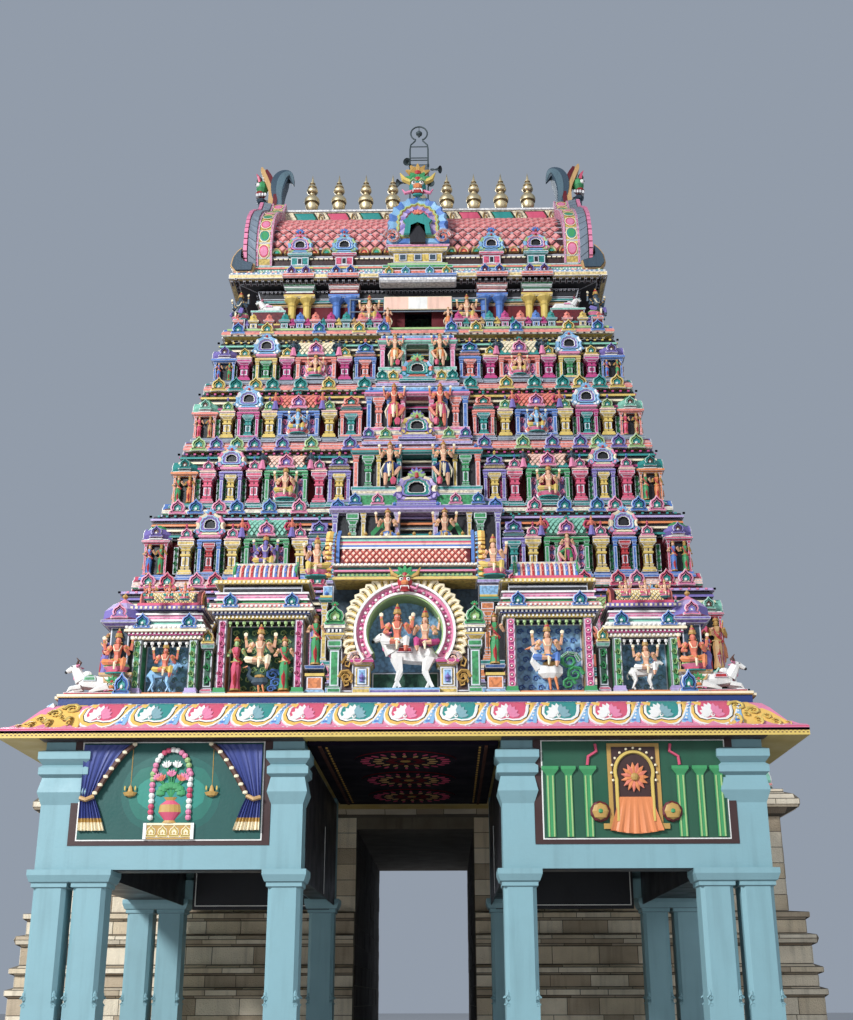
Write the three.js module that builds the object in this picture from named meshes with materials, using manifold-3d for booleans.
import * as THREE from "three";
import { mergeVertices } from "three/addons/utils/BufferGeometryUtils.js";
import Module from "manifold-3d";

// A gopuram: a gateway tower of stone and painted masonry, with a columned porch before its passage.
// Lengths are millimetres, +Z is up and the street front faces -Y.
// The origin is on the ground, at the middle of the whole footprint.

// Places of the two masses
const PORCH_TIP_Y = -11750;
const TOWER_Y = 4850;

// Joint between pieces that stand side by side, and how far joined shapes run into each other
const JOINT = 0.3;
const LAP = 20;

// Porch columns: middles of the three rows on one side, and of the front and rear lines
const COLUMN_X = { single: 2200, twinInner: 5850, twinOuter: 6600 };
const COLUMN_LINE_Y = { front: -11050, rear: -3350 };
const COLUMN_HALF = 305;
const COLUMN_CHAMFER = 75;
const COLUMN_BASE_TOP = 1600;
const COLUMN_SHAFT_TOP = 3620;
const COLUMN_TOP = 3950;
const CAPITAL = [[0, 3620], [30, 3640], [30, 3710], [65, 3730], [110, 3850], [110, 3950]];

// Porch upper storey: ring beams and walls over the two side bays
const BEAM_TOP = 4400;
const WALL_TOP = 6360;
const BAY_INNER_X = COLUMN_X.single - COLUMN_HALF;
const BAY_OUTER_X = COLUMN_X.twinOuter + COLUMN_HALF;
const BAY_FRONT_Y = COLUMN_LINE_Y.front - COLUMN_HALF;
const BAY_REAR_Y = COLUMN_LINE_Y.rear + COLUMN_HALF;
const BEAM_WIDTH = 2 * COLUMN_HALF;
const PANEL_RECESS = 80;
const PANEL_WALL = 250;
const PILASTER_WIDTH = { inner: 610, outer: 780 };
const PILASTER_BANDS = [
  [0, 4400], [0, 5150], [80, 5380], [20, 5660], [90, 5720], [90, 5850], [30, 5900], [115, 6010], [115, 6150],
  [0, 6200], [0, 6360],
];

// Porch roof: curved eave as shares of its overhang, flat top and parapet band
const EAVE_REACH = { side: 770, front: 1100 };
const EAVE = [
  [1, 6360], [1, 6500], [0.82, 6560], [0.64, 6680], [0.47, 6860], [0.31, 7030], [0.16, 7150], [0, 7200],
];
const BAND_HALF = 6980;
const BAND_FRONT_Y = PORCH_TIP_Y + EAVE_REACH.front;
const ROOF_BACK_Y = -1600;
const BAND = [[0, 7200], [0, 7390], [30, 7390], [30, 7440]];
const BAND_TOP = 7440;
const BAND_SHELF = 1300;
const BAND_SIDE = 400;
const CEILING_HALF = 1800;
const CEILING_DROP = 90;

// Pavilions in a row on the band: a horseshoe arch in the middle and two framed niches on each side
const NICHE_FRONT_Y = -10250;
const NICHE_BACK_Y = -9450;
const NICHE_CLEAR = 400;
const ARCH = {
  half: 1500, radius: 1300, openRadius: 880, openHalf: 830, openSill: 7540, middleZ: 8750, cornice: 9950,
};
const ARCH_PLATE = 220;
const ARCH_CUT = 560;
const CENTRE_LEDGE = [[0, 9950], [110, 10010], [130, 10110], [130, 10170], [40, 10250]];
const CENTRE_ROOF = { half: 1225, gable: 270, halfDepth: 420, bottom: 10250, top: 11200 };
const GABLE_GROW = 120;
const PINK_NICHE = {
  x: 3000, half: 895, sill: 7560, head: 9130, eave: 1100, cornice: 9420,
  roof: 10000, roofHalf: 700, top: 10500,
};
const GREEN_NICHE = {
  x: 4970, half: 675, sill: 7560, head: 8700, eave: 850, cornice: 8980,
  roof: 9450, roofHalf: 600, top: 9900,
};
const NICHE_JAMB = 190;
const NICHE_CUT = 450;
const NICHE_EAVE_RISE = 90;
const NICHE_STEP = 60;
const NICHE_ROOF_DEPTH = 330;

// Bull: its size, and the rounded masses as shares of it, radii first and then place
const BULL = { x: 6420, y: -10380, length: 1060, height: 730, width: 420, slab: 90 };
const BULL_MASSES = [
  [[0.4, 0.5, 0.26], [-0.1, 0.27]],
  [[0.14, 0.36, 0.2], [0.12, 0.5]],
  [[0.13, 0.25, 0.3], [0.26, 0.55]],
  [[0.17, 0.22, 0.13], [0.36, 0.8]],
];

// Stone base on both sides of the passage
const STONE_HALF = 9650;
const STONE_DEPTH = 6000;
const PASSAGE_HALF = 1550;
const PASSAGE_TOP = 5900;
const PLINTH = [
  [900, 0], [900, 330], [780, 330], [780, 620], [640, 700], [560, 900], [560, 1700], [640, 1760], [640, 1900],
  [470, 1960], [470, 2240], [590, 2290], [590, 2420], [400, 2500], [400, 2930], [520, 2990], [560, 3100],
  [520, 3200], [330, 3240], [330, 3560], [420, 3620], [420, 3750], [0, 3800], [0, 6200],
];
const STONE_CORNICE = [
  [0, 6200], [120, 6230], [420, 6380], [450, 6450], [450, 6600], [330, 6740], [120, 6820], [120, 6900],
];

// Storeys of the tower from below: half width, half depth, underside and top of the cornice slab,
// tops of the pavilion bodies and roofs, half width of the middle bay, its doorway,
// and the middles of what stands beside it on each half of the front
const STOREYS = [
  {
    half: 9300, depth: 5800, bottom: 6900, floor: 7200, body: 8600, roof: 9400,
    bay: 2900, door: { half: 500, sill: 7400, head: 9300 },
    posts: [7950, 6400, 4150], panels: [7170, 3480], hall: 5270,
  },
  {
    half: 8680, depth: 5400, bottom: 9750, floor: 10200, body: 11900, roof: 12450,
    bay: 2700, door: { half: 500, sill: 10500, head: 12250 },
    posts: [7400, 5950, 3850], panels: [6680, 3240], hall: 4900,
  },
  {
    half: 8050, depth: 4930, bottom: 12800, floor: 13250, body: 14350, roof: 15050,
    bay: 2500, door: { half: 480, sill: 13650, head: 15150 },
    posts: [6800, 5430, 3430], panels: [6120, 2870], hall: 4420,
  },
  {
    half: 7460, depth: 4360, bottom: 15300, floor: 15700, body: 16750, roof: 17350,
    bay: 1950, door: { half: 455, sill: 16150, head: 17250 },
    posts: [6390, 4970, 2980], panels: [5690, 2370], hall: 3990,
  },
  {
    half: 7030, depth: 3930, bottom: 17550, floor: 18050, body: 18950, roof: 19600,
    bay: 1600, door: { half: 360, sill: 18300, head: 19420 },
    posts: [5970, 4640, 2760], panels: [5320, 2080], hall: 3730,
  },
  {
    half: 6600, depth: 3500, bottom: 19800, floor: 20250, body: 21050, roof: 21700,
    bay: 1220, door: { half: 360, sill: 20600, head: 21470 },
    posts: [5600, 4220, 2350], panels: [4900, 1690], hall: 3280,
  },
];
const TOP_BOTTOM = 21850;
const TOP_FLOOR = 22250;
const TOP_HALF = 6150;
const TOP_DEPTH = 3400;

// Cornice slab of a storey: its lower and upper points from its underside and its top
const CORNICE_LOW = [[-180, 0], [-180, 60], [190, 90], [220, 170]];
const CORNICE_HIGH = [[160, -130], [40, -60], [40, 0]];

// Pavilions that stand forward of the storey walls
const RELIEF = 350;
const WALL_THICKNESS = 700;
const POST_HALF = 210;
const PANEL_HALF = 310;
const HALL_HALF = 620;
const HALL_STEP = 40;
const HALL_ROOF = 180;
const HALL_ROOF_DROP = 60;
const PANEL_ARCH = { share: 1.2, depth: 180 };
const POST_STEP = 90;
const BAY_STEP = 220;
const COURSE_DEPTH = 70;
const CORNER = 680;
const CORNER_DOME = [[0, 0], [1, 0.02], [1.08, 0.3], [0.7, 0.7], [0, 1]];
const SIDE_PLACES = { posts: [0.72, 0.31], panels: [0.52] };
const BALCONY = { storey: 2, half: 2280, sill: 13650, head: 15150, cut: 420 };

// Neck under the roof, with paired columns before dark walls
const PARAPET_TOP = 22720;
const PARAPET_THICKNESS = 200;
const NECK_TOP = 24050;
const NECK_HALF = 5300;
const NECK_DEPTH = 2750;
const NECK_THICKNESS = 500;
const NECK_DOOR = { half: 450, sill: 22500, head: 23400 };
const PAIR_X = [2470, 3960];
const PAIR_SPACING = 500;
const PAIR_RADIUS = 110;
const PAIR_BLOCK = { half: 480, depth: 320, bottom: 23720 };

// Barrel roof: eave slab, vault, gables, ridge and finials
const ROOF_HALF = 6280;
const ROOF_DEPTH = 3550;
const ROOF_EAVE = [[-260, 24050], [0, 24090], [0, 24230], [-60, 24350], [-330, 24400], [-330, 24750]];
const VAULT_BOTTOM = 24750;
const VAULT_HALF = 4950;
const VAULT = [
  [3150, 24750], [3200, 25300], [3080, 25950], [2750, 26550], [2200, 27100], [1500, 27600], [700, 28000],
  [450, 28100], [450, 28700],
];
const VAULT_INSIDE = [
  [2700, 24750], [2750, 25300], [2600, 25850], [2250, 26350], [1700, 26850], [1000, 27250], [350, 27400],
];
const GABLE = [
  [3220, 24750], [3420, 25300], [3340, 26000], [3020, 26700], [2450, 27300], [1700, 27850], [850, 28400],
  [450, 29100],
];
const GABLE_THICKNESS = 900;
const CREST = [
  [4950, 28600], [5850, 28600], [6030, 29300], [6150, 29700], [6010, 30300], [5930, 30850], [5790, 31000],
  [5590, 30650], [5450, 30250], [5330, 30600], [5000, 30740], [4700, 30500], [4610, 30150], [4830, 30330],
  [5060, 30200], [5110, 29700],
];
const CREST_HALF = 320;
const FOOT = [
  [5600, 24350], [6240, 24350], [6220, 24760], [6070, 25080], [5870, 25230], [5870, 24700], [5600, 24700],
];
const FOOT_Y = 3360;
const FOOT_THICKNESS = 340;
const DORMER_BACK = 2400;
const DORMER = { half: 330, front: 3420, step: 60, arch: 25250, radius: 400, plate: 260 };
const NASI = {
  half: 900, front: 3450, step: 80, arch: 26300, radius: 980, plate: 420,
  window: 260, sill: 25420, head: 26250,
};
const RIDGE_SEAT = { reach: 900, half: 500, bottom: 28000 };
const FINIAL = { count: 9, spacing: 1000, bottom: 28700, rail: 28800, height: 1800 };
const FINIAL_RAIL = { end: 200, half: 210 };
const FINIAL_OUTLINE = [
  [0.11, 0], [0.06, 0.14], [0.16, 0.27], [0.155, 0.38], [0.05, 0.46], [0.11, 0.58], [0.045, 0.7], [0.06, 0.8],
];

// Mast with horns, on the roof slope behind the middle arch, and the board before the neck
const MAST = { y: -1500, bottom: 27615, top: 30750, half: 325, bar: 28, loop: 330, loopZ: 31270 };
const LOOP_SIDES = 7;
const LOOP_FOOT = { across: 0.4, up: 0.8 };
const LAMP = { radius: 120, half: 90 };
const HORN_DROP = 160;
const HORN_THROAT = 40;
const RUNGS = [29750, 29830, 29920, 30120, 30220];
const HORNS = [
  { x: -325, z: 29900, reach: -330, size: 170 }, { x: -325, z: 29150, reach: -420, size: 190 },
  { x: 325, z: 29700, reach: 420, size: 190 }, { x: 325, z: 29000, reach: 330, size: 170 },
];
const BOARD = {
  y: -3150, half: 1120, bottom: 23080, top: 23560, thickness: 40,
  rod: 22, reach: 2250, lowRod: 23040, highRod: 23500,
};

const wasm = await Module();
wasm.setup();

// A closed geometry as a solid that can be joined and cut.
function solid(geometry) {
  const bare = geometry.clone();
  bare.deleteAttribute("normal");
  bare.deleteAttribute("uv");
  const merged = mergeVertices(bare, 1e-3);
  const corners = Array.from(merged.index.array);
  const faces = [];
  for (let i = 0; i < corners.length; i += 3) {
    const [a, b, c] = corners.slice(i, i + 3);
    if (a !== b && b !== c && c !== a) faces.push(a, b, c);
  }
  const vertProperties = merged.attributes.position.array;
  return new wasm.Manifold(new wasm.Mesh({ numProp: 3, vertProperties, triVerts: new Uint32Array(faces) }));
}

const join = (solids) => solids.reduce((sum, piece) => sum.add(piece));
const cut = (body, holes) => holes.reduce((rest, hole) => rest.subtract(hole), body);

function geometryOf(body) {
  const { vertProperties, triVerts } = body.getMesh();
  const geometry = new THREE.BufferGeometry();
  geometry.setAttribute("position", new THREE.BufferAttribute(new Float32Array(vertProperties), 3));
  geometry.setIndex(new THREE.BufferAttribute(new Uint32Array(triVerts), 1));
  geometry.computeVertexNormals();
  return geometry;
}

function boxShape([x0, x1], [y0, y1], [z0, z1]) {
  const box = new THREE.BoxGeometry(x1 - x0, y1 - y0, z1 - z0);
  return box.translate((x0 + x1) / 2, (y0 + y1) / 2, (z0 + z1) / 2);
}
const block = (x, y, z) => solid(boxShape(x, y, z));

// An outline of (across, up) points carried along Y from y0 to y1.
function prismShape(outline, y0, y1) {
  const shape = new THREE.Shape(outline.map(([across, up]) => new THREE.Vector2(across, up)));
  const extruded = new THREE.ExtrudeGeometry(shape, { depth: y1 - y0, bevelEnabled: false });
  return extruded.rotateX(Math.PI / 2).translate(0, y1, 0);
}
const prism = (outline, y0, y1) => solid(prismShape(outline, y0, y1));

// The same, carried along X.
const TURN_TO_X = new THREE.Matrix4().makeRotationZ(-Math.PI / 2);
const MIRROR_ACROSS = ([across, up]) => [-across, up];
function prismAlongX(outline, x0, x1) {
  return solid(prismShape(outline.map(MIRROR_ACROSS), x0, x1).applyMatrix4(TURN_TO_X));
}

// The full outline whose right half is given from bottom to top.
const bothSides = (half) => [...half, ...half.map(([across, up]) => [-across, up]).reverse()];

// A moulded block: its plan rectangle grows and shrinks with height by the profile's (offset, z) points,
// times each side's own factor, so a factor of 0 keeps that side flat.
function moulded(profile, [x0, x1], [y0, y1], { left = 1, right = 1, front = 1, back = 1 } = {}) {
  const sides = (low, high, lowFactor, highFactor) => [
    ...profile.map(([off, z]) => [high + highFactor * off, z]),
    ...profile.map(([off, z]) => [low - lowFactor * off, z]).reverse(),
  ];
  const reach = 2000;
  const across = prism(sides(x0, x1, left, right), y0 - reach, y1 + reach);
  const along = prismAlongX(sides(y0, y1, front, back), x0 - reach, x1 + reach);
  return across.intersect(along);
}

function ring(low, high, outer, inner) {
  const [outX, outY] = outer;
  const [inX, inY] = inner;
  const whole = block([-outX, outX], [-outY, outY], [low, high]);
  return whole.subtract(block([-inX, inX], [-inY, inY], [low - LAP, high + LAP]));
}

// A round arch that narrows a little at its foot, as (across, up) points.
const ARCH_START = -0.2 * Math.PI;
const ARCH_FOOT = 0.72;
function archOutline(x, foot, middle, radius, steps = 4) {
  const points = [];
  for (let i = 0; i <= steps; i++) {
    const angle = ARCH_START + ((Math.PI - 2 * ARCH_START) * i) / steps;
    points.push([x + radius * Math.cos(angle), middle + radius * Math.sin(angle)]);
  }
  return [...points, [x - radius * ARCH_FOOT, foot], [x + radius * ARCH_FOOT, foot]];
}

function turned(outline, segments) {
  const points = outline.map(([r, z]) => new THREE.Vector2(r, z));
  return new THREE.LatheGeometry(points, segments).rotateX(Math.PI / 2);
}

const building = new THREE.Group();
const porch = new THREE.Group();
const tower = new THREE.Group();
tower.position.y = TOWER_Y;
building.add(porch, tower);

const paint = (color, roughness = 0.7, metalness = 0) =>
  new THREE.MeshStandardMaterial({ color, roughness, metalness });

function place(group, name, body, material, [x, y, z] = [0, 0, 0], mirrored = false) {
  const mesh = new THREE.Mesh(geometryOf(body), material);
  mesh.name = name;
  mesh.position.set(x, y, z);
  if (mirrored) mesh.scale.x = -1;
  group.add(mesh);
}

function placePair(group, name, body, material) {
  place(group, `${name}_right`, body, material());
  place(group, `${name}_left`, body, material(), [0, 0, 0], true);
}

// Porch columns

function column(x) {
  const near = COLUMN_HALF - COLUMN_CHAMFER;
  const quarter = [[COLUMN_HALF, near], [near, COLUMN_HALF]];
  const half = [...quarter, ...quarter.map(MIRROR_ACROSS).reverse()];
  const corners = [...half, ...half.map(([across, along]) => [across, -along]).reverse()];
  const section = new THREE.Shape(corners.map(([across, along]) => new THREE.Vector2(across, along)));
  const depth = COLUMN_SHAFT_TOP - COLUMN_BASE_TOP + 2 * LAP;
  const shaft = new THREE.ExtrudeGeometry(section, { depth, bevelEnabled: false });
  shaft.translate(x, 0, COLUMN_BASE_TOP - LAP);
  const square = [-COLUMN_HALF, COLUMN_HALF];
  const plan = [x - COLUMN_HALF, x + COLUMN_HALF];
  return join([
    block(plan, square, [0, COLUMN_BASE_TOP]),
    solid(shaft),
    moulded(CAPITAL, plan, square),
  ]);
}

function addColumns() {
  const middle = (COLUMN_X.twinInner + COLUMN_X.twinOuter) / 2;
  const halfGap = (COLUMN_X.twinOuter - COLUMN_X.twinInner) / 2;
  const single = column(0);
  const twin = join([column(-halfGap), column(halfGap)]);
  for (const [line, y] of Object.entries(COLUMN_LINE_Y)) {
    for (const [side, sign] of [["left", -1], ["right", 1]]) {
      place(porch, `porch_column_${line}_${side}`, single, paint(0x82afbe), [sign * COLUMN_X.single, y, 0]);
      place(porch, `porch_twin_columns_${line}_${side}`, twin, paint(0x82afbe), [sign * middle, y, 0]);
    }
  }
}

// Porch upper storey

function bayBeams() {
  return block([BAY_INNER_X, BAY_OUTER_X], [BAY_FRONT_Y, BAY_REAR_Y], [COLUMN_TOP, BEAM_TOP]).subtract(
    block(
      [BAY_INNER_X + BEAM_WIDTH, BAY_OUTER_X - BEAM_WIDTH],
      [BAY_FRONT_Y + BEAM_WIDTH, BAY_REAR_Y - BEAM_WIDTH],
      [COLUMN_TOP - LAP, BEAM_TOP + LAP],
    ),
  );
}

function bayWalls() {
  const inset = PANEL_RECESS + PANEL_WALL;
  const shell = block(
    [BAY_INNER_X + PANEL_RECESS, BAY_OUTER_X - PANEL_RECESS],
    [BAY_FRONT_Y + PANEL_RECESS, BAY_REAR_Y - PANEL_RECESS],
    [BEAM_TOP, WALL_TOP],
  ).subtract(
    block(
      [BAY_INNER_X + inset, BAY_OUTER_X - inset],
      [BAY_FRONT_Y + inset, BAY_REAR_Y - inset],
      [BEAM_TOP - LAP, WALL_TOP + LAP],
    ),
  );
  const inner = [BAY_INNER_X, BAY_INNER_X + PILASTER_WIDTH.inner];
  const outer = [BAY_OUTER_X - PILASTER_WIDTH.outer, BAY_OUTER_X];
  const front = [BAY_FRONT_Y, BAY_FRONT_Y + BEAM_WIDTH];
  const rear = [BAY_REAR_Y - BEAM_WIDTH, BAY_REAR_Y];
  return join([
    shell,
    moulded(PILASTER_BANDS, inner, front),
    moulded(PILASTER_BANDS, outer, front),
    block(inner, rear, [BEAM_TOP, WALL_TOP]),
    block(outer, rear, [BEAM_TOP, WALL_TOP]),
  ]);
}

function addPorchRoof() {
  const plan = [[-BAND_HALF, BAND_HALF], [BAND_FRONT_Y, ROOF_BACK_Y]];
  const { side, front } = EAVE_REACH;
  const roof = moulded(EAVE, ...plan, { left: side, right: side, front, back: 0 });
  place(porch, "porch_roof", roof, paint(0xe1cd5a));
  const terrace = block(
    [-BAND_HALF + BAND_SIDE, BAND_HALF - BAND_SIDE],
    [BAND_FRONT_Y + BAND_SHELF, ROOF_BACK_Y + LAP],
    [BAND[0][1] - LAP, BAND_TOP + LAP],
  );
  const band = moulded(BAND, ...plan, { back: 0 }).subtract(terrace);
  place(porch, "parapet_band", band, paint(0x1e3c82));
  const ceiling = block(
    [-CEILING_HALF, CEILING_HALF],
    [BAY_FRONT_Y, BAY_REAR_Y],
    [WALL_TOP - CEILING_DROP, WALL_TOP],
  );
  place(porch, "porch_ceiling", ceiling, paint(0x3a1f50));
}

// Pavilions on the band

// A small barrel roof along X whose ends stand as discs.
function barrel(x, half, y, halfDepth, low, high, gable) {
  const steps = 6;
  const vault = (grow) => {
    const points = [];
    for (let i = 0; i <= steps; i++) {
      const angle = (Math.PI * i) / steps;
      points.push([y + (halfDepth + grow) * Math.cos(angle), low + (high - low + grow) * Math.sin(angle)]);
    }
    return points;
  };
  const body = prismAlongX(vault(0), x - half, x + half);
  if (!gable) return body;
  const ends = [-1, 1].map((side) => {
    const near = x + side * half;
    const far = near + side * gable;
    return prismAlongX(vault(GABLE_GROW), Math.min(near, far), Math.max(near, far));
  });
  return join([body, ...ends]);
}

function centrePavilion() {
  const { half, radius, openRadius, openHalf, openSill, middleZ, cornice } = ARCH;
  const plan = [[-half, half], [NICHE_FRONT_Y, NICHE_BACK_Y]];
  const plateFront = NICHE_FRONT_Y - ARCH_PLATE;
  const holeSpan = [NICHE_FRONT_Y - NICHE_CLEAR, NICHE_FRONT_Y + ARCH_CUT];
  const y = (NICHE_FRONT_Y + NICHE_BACK_Y) / 2;
  const roof = CENTRE_ROOF;
  const body = join([
    block(...plan, [BAND_TOP, cornice]),
    moulded(CENTRE_LEDGE, ...plan),
    prism(archOutline(0, BAND_TOP, middleZ, radius, 12), plateFront, NICHE_FRONT_Y + LAP),
    barrel(0, roof.half, y, roof.halfDepth, roof.bottom, roof.top, roof.gable),
  ]);
  const round = archOutline(0, middleZ - openRadius, middleZ, openRadius, 10);
  const way = block([-openHalf, openHalf], holeSpan, [openSill, middleZ]);
  return cut(body, [prism(round, ...holeSpan), way]);
}

function framedNiche({ x, half, sill, head, eave, cornice, roof, roofHalf, top }) {
  const plan = [[x - half, x + half], [NICHE_FRONT_Y, NICHE_BACK_Y]];
  const reach = eave - half;
  const ledge = [
    [0, head], [reach, head + NICHE_EAVE_RISE], [reach, cornice - NICHE_STEP], [NICHE_STEP, cornice],
    [NICHE_STEP, roof],
  ];
  const y = (NICHE_FRONT_Y + NICHE_BACK_Y) / 2;
  const body = join([
    block(...plan, [BAND_TOP, head]),
    moulded(ledge, ...plan),
    barrel(x, roofHalf, y, NICHE_ROOF_DEPTH, roof, top),
  ]);
  const hole = block(
    [x - half + NICHE_JAMB, x + half - NICHE_JAMB],
    [NICHE_FRONT_Y - NICHE_CLEAR, NICHE_FRONT_Y + NICHE_CUT],
    [sill, head - NICHE_STEP],
  );
  return cut(body, [hole]);
}

const ball = (radii, middle) =>
  solid(new THREE.SphereGeometry(1, 8, 5).rotateX(Math.PI / 2).scale(...radii).translate(...middle));

// A bull lying down, its head turned away from the middle of the porch.
function bull() {
  const { x, y, length, height, width, slab } = BULL;
  const masses = BULL_MASSES.map(([[long, wide, tall], [along, up]]) =>
    ball([long * length, wide * width, tall * height], [x + along * length, y, BAND_TOP + up * height]));
  const half = width * 0.42;
  const seat = [x - 0.3 * length, x + 0.42 * length];
  return join([...masses, block(seat, [y - half, y + half], [BAND_TOP, BAND_TOP + slab])]);
}

// Stone base

function stoneSide() {
  const plan = [[PASSAGE_HALF, STONE_HALF], [-STONE_DEPTH, STONE_DEPTH]];
  return moulded(PLINTH, ...plan, { left: 0 });
}

function stoneCornice() {
  const edge = STONE_CORNICE[0][1];
  const lintel = block(
    [-PASSAGE_HALF + JOINT, PASSAGE_HALF - JOINT],
    [-STONE_DEPTH, STONE_DEPTH],
    [PASSAGE_TOP, edge + LAP],
  );
  return join([moulded(STONE_CORNICE, [-STONE_HALF, STONE_HALF], [-STONE_DEPTH, STONE_DEPTH]), lintel]);
}

// Storeys of the tower

const corniceProfile = (bottom, floor) => [
  ...CORNICE_LOW.map(([off, up]) => [off, bottom + up]),
  ...CORNICE_HIGH.map(([off, up]) => [off, floor + up]),
];

const doorway = ({ half, sill, head }, reach) => block([-half, half], [-reach, reach], [sill, head]);

function storeyWalls(storey, top) {
  const { half, depth, bottom, floor, door } = storey;
  const slab = moulded(corniceProfile(bottom, floor), [-half, half], [-depth, depth]);
  const inset = RELIEF + WALL_THICKNESS;
  const walls = ring(floor - LAP, top, [half - RELIEF, depth - RELIEF], [half - inset, depth - inset]);
  return cut(join([slab, walls]), [doorway(door, depth)]);
}

// The plan of the pavilion bodies: they stand forward of a thin course, and the corner ones are square.
function bodiesPlan({ half, depth, bay, posts, panels, hall }) {
  const stands = (places, size, step) =>
    places.flatMap((at) => [{ at, size, step }, { at: -at, size, step }]);
  const sideStands = [
    ...stands(SIDE_PLACES.posts.map((share) => share * depth), POST_HALF, -POST_STEP),
    ...stands(SIDE_PLACES.panels.map((share) => share * depth), PANEL_HALF, 0),
    { at: 0, size: HALL_HALF, step: HALL_STEP },
  ];
  const frontStands = [
    ...stands(posts, POST_HALF, -POST_STEP),
    ...stands(panels, PANEL_HALF, 0),
    ...stands([hall], HALL_HALF, HALL_STEP),
    { at: 0, size: bay, step: BAY_STEP },
  ];
  const points = [];
  for (let turn = 0; turn < 4; turn++) {
    const [reach, plane, list] = turn % 2 ? [depth, half, sideStands] : [half, depth, frontStands];
    const recess = plane - RELIEF + COURSE_DEPTH;
    const end = reach - CORNER;
    const face = [[-end, plane], [-end, recess]];
    for (const { at, size, step } of list.sort((left, right) => left.at - right.at)) {
      const out = plane + step;
      face.push([at - size, recess], [at - size, out], [at + size, out], [at + size, recess]);
    }
    face.push([end, recess], [end, plane], [reach, plane]);
    for (const [along, out] of face) points.push(TURNS[turn](along, out));
  }
  return points;
}

// Where a point `along` a face and `out` from the middle lies, on the front, right, back and left face.
const TURNS = [
  (along, out) => new THREE.Vector2(along, -out),
  (along, out) => new THREE.Vector2(out, along),
  (along, out) => new THREE.Vector2(-along, out),
  (along, out) => new THREE.Vector2(-out, -along),
];

// Arches over the panels and barrel roofs over the halls of one face, built towards -Y and then turned.
function faceRoofs({ body, roof }, plane, panels, halls, turn) {
  const shapes = [];
  for (const x of panels) {
    const radius = PANEL_HALF * PANEL_ARCH.share;
    const outline = archOutline(x, body - LAP, body + radius * 0.75, radius);
    shapes.push(prismShape(outline, -plane, -plane + PANEL_ARCH.depth));
  }
  for (const x of halls) {
    const steps = 4;
    const rise = roof - body - HALL_ROOF_DROP;
    const outline = [];
    for (let i = 0; i <= steps; i++) {
      const angle = (Math.PI * i) / steps;
      outline.push([plane - HALL_ROOF * (1 - Math.cos(angle)), body - LAP + rise * Math.sin(angle)]);
    }
    shapes.push(prismShape(outline, -x - HALL_HALF, -x + HALL_HALF).applyMatrix4(TURN_TO_X));
  }
  return shapes.map((shape) => solid(shape.rotateZ((turn * Math.PI) / 2)));
}

function cornerDomes({ half, depth, body, roof }) {
  const edge = CORNER / 2;
  const outline = CORNER_DOME.map(([r, z]) => [r * edge, z * (roof - body)]);
  return [-1, 1].flatMap((sideX) => [-1, 1].map((sideY) => {
    const middle = [sideX * (half - edge), sideY * (depth - edge), body - LAP];
    return solid(turned(outline, 6).translate(...middle));
  }));
}

function storeyPavilions(storey, top) {
  const { half, depth, floor, body, bay, door, panels, hall } = storey;
  const plan = new THREE.Shape(bodiesPlan(storey));
  const bodies = solid(
    new THREE.ExtrudeGeometry(plan, { depth: body - floor, bevelEnabled: false }).translate(0, 0, floor),
  );
  const bays = [-1, 1].map((face) => {
    const ends = [0, face * (depth + BAY_STEP)].sort((left, right) => left - right);
    return block([-bay, bay], ends, [body, top]);
  });
  const frontPanels = panels.flatMap((x) => [-x, x]);
  const sidePanels = SIDE_PLACES.panels.flatMap((share) => [-share * depth, share * depth]);
  const solids = [
    bodies,
    ...bays,
    ...[0, 2].flatMap((turn) => faceRoofs(storey, depth, frontPanels, [-hall, hall], turn)),
    ...[1, 3].flatMap((turn) => faceRoofs(storey, half, sidePanels, [0], turn)),
    ...cornerDomes(storey),
  ];
  // The walls' own space inside the ring of pavilions stays clear.
  const wallX = half - RELIEF + JOINT;
  const wallY = depth - RELIEF + JOINT;
  const core = block([-wallX, wallX], [-wallY, wallY], [floor - LAP, top + LAP]);
  return cut(join(solids), [core, doorway(door, depth + 2 * BAY_STEP)]);
}

function addStoreys() {
  const colours = [0xc07a8c, 0xb8836a, 0xd0b060, 0xc85a78, 0x4aa08c, 0xb04a90];
  STOREYS.forEach((storey, i) => {
    const top = i + 1 < STOREYS.length ? STOREYS[i + 1].bottom : TOP_BOTTOM;
    place(tower, `storey_${i + 1}_walls`, storeyWalls(storey, top), paint(0xe0a08c));
    let pavilions = storeyPavilions(storey, top);
    if (i === BALCONY.storey) {
      const front = -storey.depth - BAY_STEP;
      const { half, sill, head, cut: deep } = BALCONY;
      pavilions = pavilions.subtract(block([-half, half], [front - LAP, front + deep], [sill, head]));
    }
    place(tower, `storey_${i + 1}_pavilions`, pavilions, paint(colours[i]));
  });
}

// Neck and barrel roof

// The stretch along Y between two distances from the middle, on the front (-1) or the back (1).
const stretch = (face, near, far) => [face * near, face * far].sort((left, right) => left - right);

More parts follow.
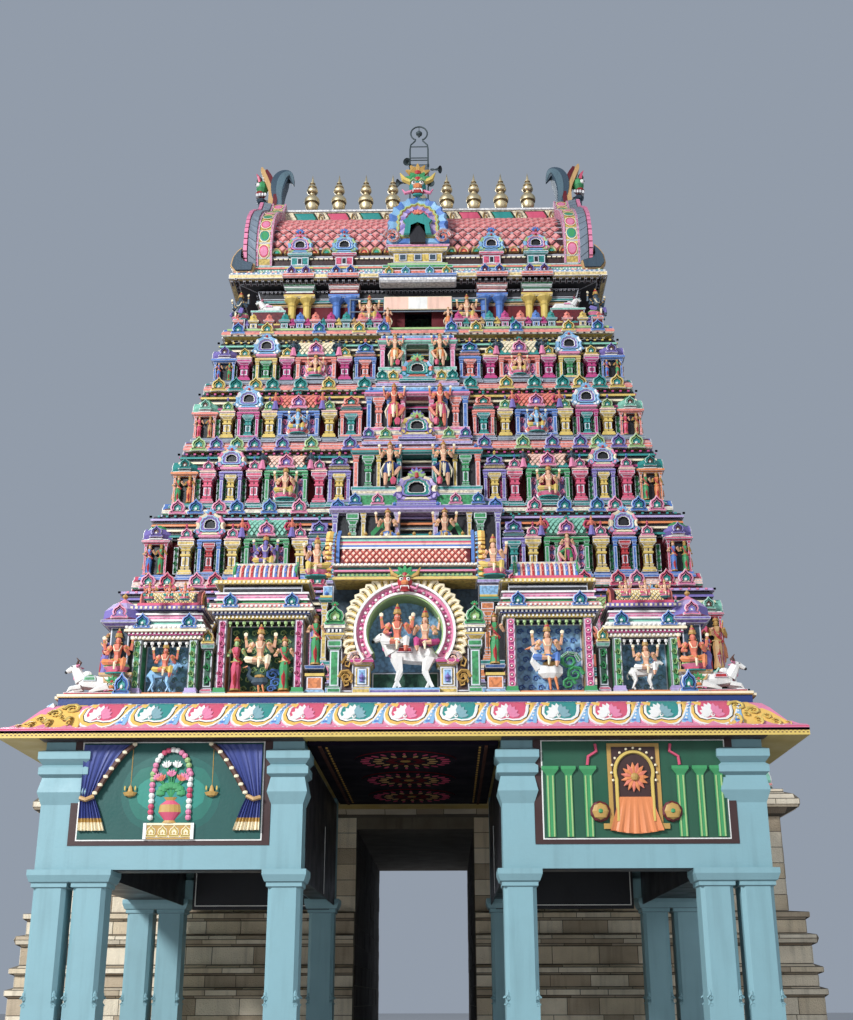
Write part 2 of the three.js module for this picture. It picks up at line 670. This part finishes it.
function neck() {
  const inside = [NECK_HALF - NECK_THICKNESS, NECK_DEPTH - NECK_THICKNESS];
  const walls = ring(TOP_FLOOR, NECK_TOP, [NECK_HALF, NECK_DEPTH], inside);
  const { half, depth, bottom } = PAIR_BLOCK;
  const shaftTop = bottom + LAP;
  const holders = [];
  for (const face of [-1, 1]) {
    const span = stretch(face, NECK_DEPTH - LAP, NECK_DEPTH + depth);
    for (const x of PAIR_X.flatMap((at) => [-at, at])) {
      holders.push(block([x - half, x + half], span, [bottom, NECK_TOP]));
      for (const shift of [-PAIR_SPACING / 2, PAIR_SPACING / 2]) {
        const shaft = new THREE.CylinderGeometry(PAIR_RADIUS, PAIR_RADIUS, shaftTop - TOP_FLOOR, 6);
        shaft.rotateX(Math.PI / 2);
        shaft.translate(x + shift, face * (NECK_DEPTH + depth / 2), (shaftTop + TOP_FLOOR) / 2);
        holders.push(solid(shaft));
      }
    }
  }
  return cut(join([walls, ...holders]), [doorway(NECK_DOOR, NECK_DEPTH + LAP)]);
}

function roofEave() {
  const feet = [];
  for (const y of [-FOOT_Y, FOOT_Y]) {
    const span = [y - FOOT_THICKNESS / 2, y + FOOT_THICKNESS / 2];
    feet.push(prism(FOOT, ...span), prism(FOOT.map(MIRROR_ACROSS), ...span));
  }
  return join([moulded(ROOF_EAVE, [-ROOF_HALF, ROOF_HALF], [-ROOF_DEPTH, ROOF_DEPTH]), ...feet]);
}

// An arched plate on a small base, at the front (-1) or back (1) of the vault.
function dormer(face, x, { half, front, step, arch, radius, plate }, drop, rise, steps) {
  const outline = archOutline(x, arch - drop, arch + radius * rise, radius, steps);
  return [
    block([x - half, x + half], stretch(face, DORMER_BACK, front - step), [VAULT_BOTTOM, arch]),
    prism(outline, ...stretch(face, front - plate, front)),
  ];
}

function dormers() {
  const places = PAIR_X.flatMap((at) => [-at, at]);
  return [-1, 1].flatMap((face) => [
    ...places.flatMap((x) => dormer(face, x, DORMER, LAP, 0.75, 4)),
    ...dormer(face, 0, NASI, 300, 0.5, 10),
  ]);
}

function vault() {
  const outside = prismAlongX(bothSides(VAULT), -VAULT_HALF, VAULT_HALF);
  const foot = VAULT_INSIDE[0][0];
  const inside = prismAlongX(
    [[foot, VAULT_BOTTOM - LAP], ...bothSides(VAULT_INSIDE), [-foot, VAULT_BOTTOM - LAP]],
    -VAULT_HALF - LAP,
    VAULT_HALF + LAP,
  );
  const { window, sill, head } = NASI;
  return cut(join([outside, ...dormers()]), [
    inside,
    block([-window, window], [-ROOF_DEPTH, ROOF_DEPTH], [sill, head]),
  ]);
}

function gable() {
  const plate = prismAlongX(bothSides(GABLE), VAULT_HALF + JOINT, VAULT_HALF + GABLE_THICKNESS);
  const crest = prism(CREST, -CREST_HALF, CREST_HALF);
  const { reach, half, bottom } = RIDGE_SEAT;
  const along = [VAULT_HALF - reach, VAULT_HALF + JOINT];
  const ridge = block(along, [-half, half], [bottom, FINIAL.bottom + JOINT]);
  return join([plate, crest]).subtract(ridge);
}

function finials() {
  const { count, spacing, bottom, rail, height } = FINIAL;
  const reach = ((count - 1) / 2) * spacing;
  const outline = [
    [0, 0],
    ...FINIAL_OUTLINE.map(([r, z]) => [r * height, z * height]),
    [0, height],
  ];
  const pots = [];
  for (let i = 0; i < count; i++) {
    pots.push(solid(turned(outline, 6).translate(i * spacing - reach, 0, rail - LAP)));
  }
  const { end, half } = FINIAL_RAIL;
  return join([block([-reach - end, reach + end], [-half, half], [bottom, rail]), ...pots]);
}

// Mast and board

function rod(from, to, radius, sides = 4, end = radius) {
  const a = new THREE.Vector3(...from);
  const b = new THREE.Vector3(...to);
  const axis = b.clone().sub(a);
  const bar = new THREE.CylinderGeometry(end, radius, axis.length(), sides);
  const turn = new THREE.Quaternion().setFromUnitVectors(new THREE.Vector3(0, 1, 0), axis.normalize());
  return solid(bar.applyQuaternion(turn).translate(...a.add(b).multiplyScalar(0.5)));
}

function mast() {
  const { y, bottom, top, half, bar, loop, loopZ } = MAST;
  const parts = [];
  for (const side of [-1, 1]) {
    const shoulder = [side * LOOP_FOOT.across * loop, y, loopZ - LOOP_FOOT.up * loop];
    parts.push(rod([side * half, y, bottom], [side * half, y, top], bar));
    parts.push(rod([side * half, y, top - LAP], shoulder, bar));
  }
  for (const z of RUNGS) parts.push(rod([-half, y, z], [half, y, z], bar * 0.7));
  const at = (i) => {
    const angle = (2 * Math.PI * i) / LOOP_SIDES;
    return [loop * Math.sin(angle), y, loopZ - loop * Math.cos(angle)];
  };
  for (let i = 0; i < LOOP_SIDES; i++) parts.push(rod(at(i), at(i + 1), bar));
  parts.push(rod([0, y, loopZ + LAMP.half - LAP], [0, y, loopZ + loop], bar * 0.6));
  parts.push(rod([0, y, loopZ - LAMP.half], [0, y, loopZ + LAMP.half], LAMP.radius, 6));
  for (const { x, z, reach, size } of HORNS) {
    parts.push(rod([x, y, z], [x + reach, y - HORN_DROP, z], HORN_THROAT, 6, size));
  }
  return join(parts);
}

function signBoard() {
  const { y, half, bottom, top, thickness, rod: radius, reach, lowRod, highRod } = BOARD;
  const back = y + thickness / 2 + radius * 0.5;
  return join([
    block([-half, half], [y - thickness / 2, y + thickness / 2], [bottom, top]),
    ...[lowRod, highRod].map((z) => rod([-reach, back, z], [reach, back, z], radius)),
    ...[-reach, -half, half, reach].map((x) => rod([x, back, TOP_FLOOR], [x, back, top], radius)),
  ]);
}

addColumns();
placePair(porch, "porch_beams", bayBeams(), () => paint(0x8ab8c8));
placePair(porch, "porch_walls", bayWalls(), () => paint(0x7fb0c0));
addPorchRoof();
place(porch, "centre_pavilion", centrePavilion(), paint(0xe07896));
placePair(porch, "pink_niche", framedNiche(PINK_NICHE), () => paint(0xd05a96));
placePair(porch, "green_niche", framedNiche(GREEN_NICHE), () => paint(0x2e8c5a));
placePair(porch, "bull", bull(), () => paint(0xe8e0d8));
placePair(tower, "stone_base", stoneSide(), () => paint(0xb9aa96, 0.9));
place(tower, "stone_cornice", stoneCornice(), paint(0xa89c8a, 0.9));
addStoreys();
const topPlan = [[-TOP_HALF, TOP_HALF], [-TOP_DEPTH, TOP_DEPTH]];
place(tower, "top_cornice", moulded(corniceProfile(TOP_BOTTOM, TOP_FLOOR), ...topPlan), paint(0xe0a08c));
const parapet = ring(
  TOP_FLOOR,
  PARAPET_TOP,
  [TOP_HALF, TOP_DEPTH],
  [TOP_HALF - PARAPET_THICKNESS, TOP_DEPTH - PARAPET_THICKNESS],
);
place(tower, "shrine_parapet", parapet, paint(0x4aa08c));
place(tower, "neck", neck(), paint(0x780f19));
place(tower, "roof_eave", roofEave(), paint(0xd8c070));
place(tower, "roof_vault", vault(), paint(0xeb8c82));
placePair(tower, "roof_gable", gable(), () => paint(0x3c5055));
place(tower, "finials", finials(), paint(0xdcbe6e, 0.3, 1));
place(tower, "mast", mast(), paint(0x3a3f42, 0.5, 1));
place(tower, "sign_board", signBoard(), paint(0xa03028));

export default building;
